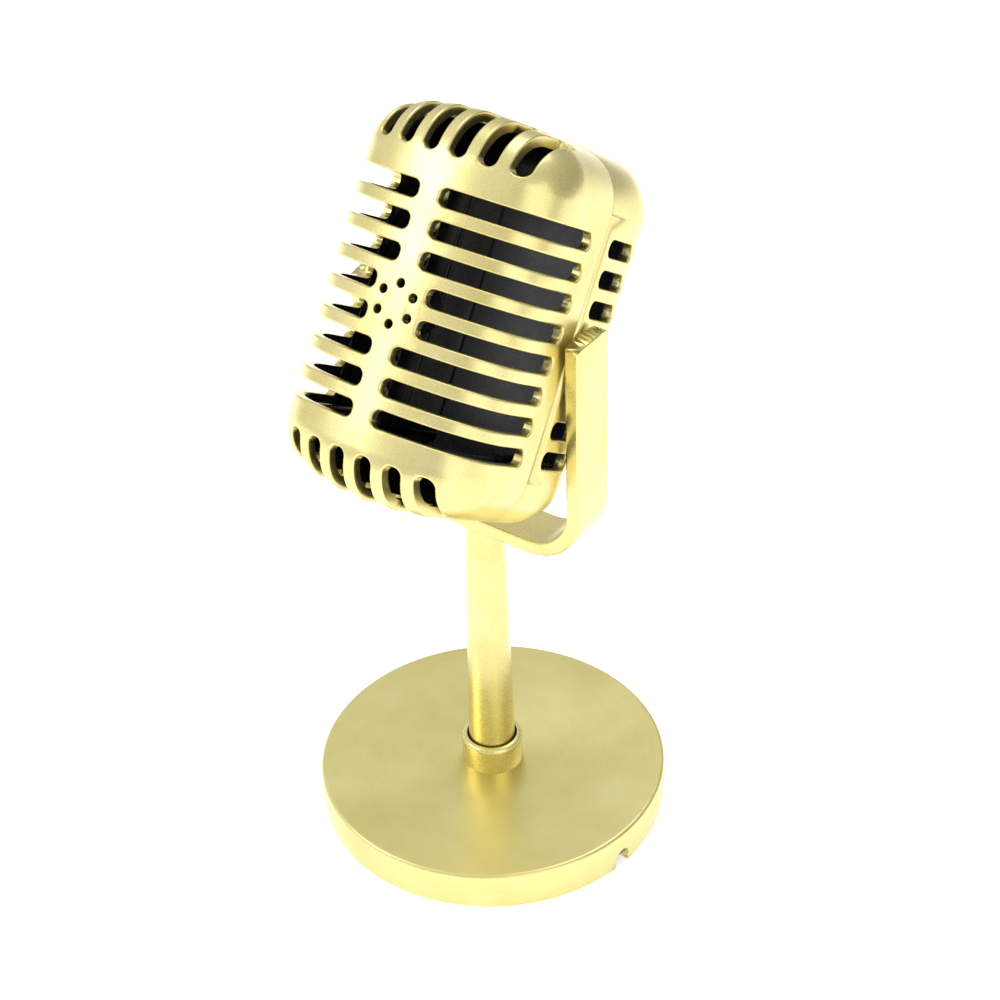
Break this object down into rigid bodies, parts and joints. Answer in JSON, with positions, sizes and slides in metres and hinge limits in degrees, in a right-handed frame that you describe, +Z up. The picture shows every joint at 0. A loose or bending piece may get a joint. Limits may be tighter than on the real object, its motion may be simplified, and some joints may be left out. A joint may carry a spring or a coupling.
{
  "type": "desk microphone",
  "caption": "Retro desk microphone: slotted round-cornered head that tilts in a U yoke on a tapered pole, turning in a weighted round base.",
  "frame": {"origin": "middle of the plane the rubber feet stand on, on the pole's axis", "axes": "+Z up along the pole, -Y is the way the head faces, +X is the side of the cable notch"},
  "size_m": [0.104, 0.1087, 0.227],
  "materials": {
    "head_paint": "satin champagne-gold metallic paint over black moulded plastic",
    "stand_paint": "satin champagne-gold metallic paint",
    "base_paint": "satin champagne-gold metallic paint, brushed look on the top",
    "black_plastic": "fine spark-eroded grain",
    "black_rubber": "matt moulded rubber",
    "zinc_steel": "bright zinc plated",
    "spring_steel": "tempered spring steel",
    "ballast_steel": "punched plate, thin oil film",
    "brass": "turned and threaded",
    "can_aluminium": "drawn can, bright",
    "felt": "pressed black felt",
    "circuit_board": "green solder mask",
    "nylon": "natural nylon"
  },
  "bodies": {
    "base": {"base_shell": "base_paint", "ballast": "ballast_steel", "ballast_screws": "zinc_steel", "bottom_cover": "black_plastic", "cover_screws": "zinc_steel", "foot_pads": "black_rubber", "collar": "stand_paint"},
    "stand": {"yoke": "stand_paint", "stem_tube": "brass", "stem_washer": "zinc_steel", "stem_spring": "spring_steel", "stem_nut": "brass", "pivot_screw_left": "zinc_steel", "pivot_screw_right": "zinc_steel", "spring_washer_left": "spring_steel", "spring_washer_right": "spring_steel", "pivot_pad_left": "nylon", "pivot_pad_right": "nylon"},
    "head": {"front_shell": "head_paint", "rear_shell": "head_paint", "shell_screws": "zinc_steel", "capsule_can": "can_aluminium", "dust_cloth": "felt", "capsule_board": "circuit_board", "capsule_boot": "black_rubber"}
  },
  "joints": [
    {"name": "pole_swivel", "type": "hinge", "parent": "base", "child": "stand", "pos_m": [0, 0, 0.0129], "axis": [0, 0, 1], "range_deg": [-170, 170]},
    {"name": "head_tilt", "type": "hinge", "parent": "stand", "child": "head", "pos_m": [0, 0, 0.1597], "axis": [1, 0, 0], "range_deg": [-40, 55]}
  ]
}
